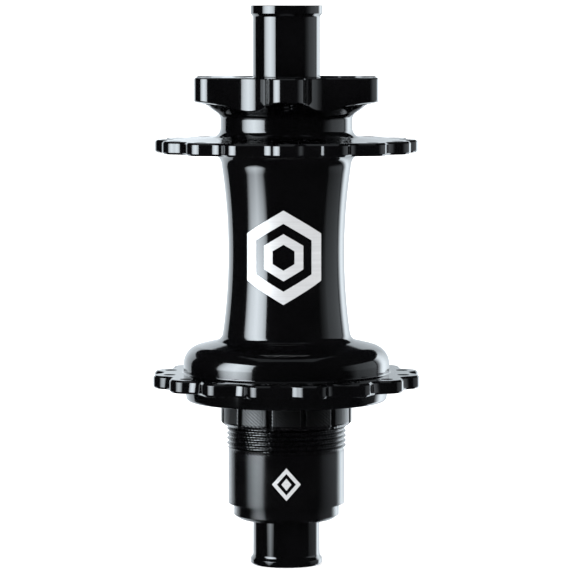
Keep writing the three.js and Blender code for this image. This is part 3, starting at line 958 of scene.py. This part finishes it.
def shape_panel(light, stops, foot):
    """Dims a panel across its width by `stops`, pairs of place and brightness, and up its `foot`.

    Places are shares of the width, and the foot is the share of the height where the panel comes up.
    """
    light.use_nodes = True
    tree = light.node_tree
    face = tree.nodes.new("ShaderNodeSeparateXYZ")
    link(tree, tree.nodes.new("ShaderNodeNewGeometry").outputs["Parametric"], face.inputs[0])
    ramp = tree.nodes.new("ShaderNodeValToRGB")
    elements = ramp.color_ramp.elements
    elements[0].position, elements[1].position = stops[0][0], stops[-1][0]
    for share, _ in stops[1:-1]:
        elements.new(share)
    for element, (_, level) in zip(elements, stops):
        element.color = (level, level, level, 1)
    link(tree, face.outputs["X"], ramp.inputs["Fac"])
    drop = spread(tree, face.outputs["Y"], 1, 0, *foot)
    glow = calculate(tree, "MAXIMUM", calculate(tree, "SUBTRACT", ramp.outputs["Color"], drop), 0)
    link(tree, glow, tree.nodes["Emission"].inputs["Strength"])


def hang(light, place):
    """Puts a panel up so that it shows in reflections only."""
    light.color = COOL_WHITE
    lamp = bpy.data.objects.new(light.name, light)
    lamp.location = place
    lamp.visible_camera = False
    lamp.visible_diffuse = False
    bpy.context.scene.collection.objects.link(lamp)
    return lamp


def panel(name, start, end, distance, bottom, top, radiance, stops, foot):
    """An upright soft panel between two azimuths round the hub, positive to the camera's right."""
    turn, half = math.radians((start + end) / 2), math.radians((end - start) / 2)
    width, height = 2 * distance * math.tan(half), top - bottom
    away = Vector((math.sin(turn), -math.cos(turn), 0))
    light = bpy.data.lights.new(name, "AREA")
    light.shape = "RECTANGLE"
    light.size, light.size_y = width, height
    light.energy = radiance * math.pi * width * height
    shape_panel(light, stops, foot)
    lamp = hang(light, away * distance + Vector((0, 0, (bottom + top) / 2)))
    lamp.rotation_euler = away.to_track_quat("Z", "Y").to_euler()


def overhead_panel(height, size, radiance):
    """A dim square panel over the hub, so that its upper faces read from above."""
    light = bpy.data.lights.new("overhead", "AREA")
    light.size = size
    light.energy = radiance * math.pi * size**2
    hang(light, (0, 0, height))


def make_lights():
    """A close soft box at the left front, a wide fill at the right, rim panels behind and one overhead.

    A panel's numbers are two azimuths in degrees, its distance, foot and head in metres, and its radiance.
    """
    soft_box = [(0, 0.2), (0.13, 0.53), (0.27, 0.78), (0.55, 1), (0.82, 0.79), (1, 0.45)]
    fill = [(0, 0.0), (0.2, 0.33), (0.29, 0.53), (0.38, 0.85), (0.6, 0.95), (1, 1)]
    rim = [
        (0, 0.15),
        (0.06, 0.25),
        (0.16, 0.75),
        (0.25, 1),
        (0.33, 0.9),
        (0.5, 0.5),
        (0.67, 0.27),
        (1, 0.15),
    ]
    backdrop = [(0, 0.6), (0.2, 0.7), (0.45, 0.95), (0.8, 1), (1, 0.9)]
    panel("soft_box", -81.5, -37.5, 0.4, -0.14, 0.34, 19.5, soft_box, (0.083, 0.458))
    panel("side_fill", 65, 120, 1.0, -0.7, 0.45, 1.0, fill, (0.35, 0.69))
    panel("right_rim", 122, 178, 1.0, -0.7, 0.45, 5.5, rim, (-0.1, 0.0))
    panel("left_backdrop", -179, -132, 1.0, -0.7, 0.45, 1.9, backdrop, (-0.1, 0.0))
    overhead_panel(1.3, 1.1, 0.4)


def make_world():
    """White for the eye and for soft light, dark in reflections, so that only the panels show there."""
    world = bpy.data.worlds.new("studio")
    world.use_nodes = True
    tree = world.node_tree
    white = tree.nodes["Background"]
    white.inputs["Color"].default_value = (1, 1, 1, 1)
    white.inputs["Strength"].default_value = 1.6
    dark = tree.nodes.new("ShaderNodeBackground")
    dark.inputs["Color"].default_value = (0.5, 0.55, 0.65, 1)
    dark.inputs["Strength"].default_value = 0.02
    either = tree.nodes.new("ShaderNodeMixShader")
    rays = tree.nodes.new("ShaderNodeLightPath")
    link(tree, rays.outputs["Is Glossy Ray"], either.inputs[0])
    link(tree, white.outputs[0], either.inputs[1])
    link(tree, dark.outputs[0], either.inputs[2])
    link(tree, either.outputs[0], tree.nodes["World Output"].inputs["Surface"])
    bpy.context.scene.world = world


def make_camera():
    """Eye level with the top of the hub, looking slightly down at its middle."""
    data = bpy.data.cameras.new("camera")
    data.lens = 225
    data.sensor_width = 36
    camera = bpy.data.objects.new("camera", data)
    eye = Vector((0.42, -950, HUB_LENGTH)) * MM
    target = Vector((0.42, 0, 73.4)) * MM
    camera.location = eye
    camera.rotation_euler = (target - eye).to_track_quat("-Z", "Y").to_euler()
    bpy.context.scene.collection.objects.link(camera)
    bpy.context.scene.camera = camera


# ---- build ----


def main():
    materials = make_materials()
    dress_cad_nodes(materials)
    make_shell(materials["shell_anodised"])
    make_freehub(materials["freehub_anodised"])
    make_brake_cap(materials["cap_anodised"])
    make_drive_cap(materials["cap_anodised"])
    make_axle(materials["axle_aluminium"])
    make_lip_seal(materials["seal_rubber"])
    make_outer_race(materials["bearing_steel"])
    make_marks(materials["etched_mark"])
    make_floor()
    make_lights()
    make_world()
    make_camera()
    bpy.context.scene.view_settings.view_transform = "Standard"


main()
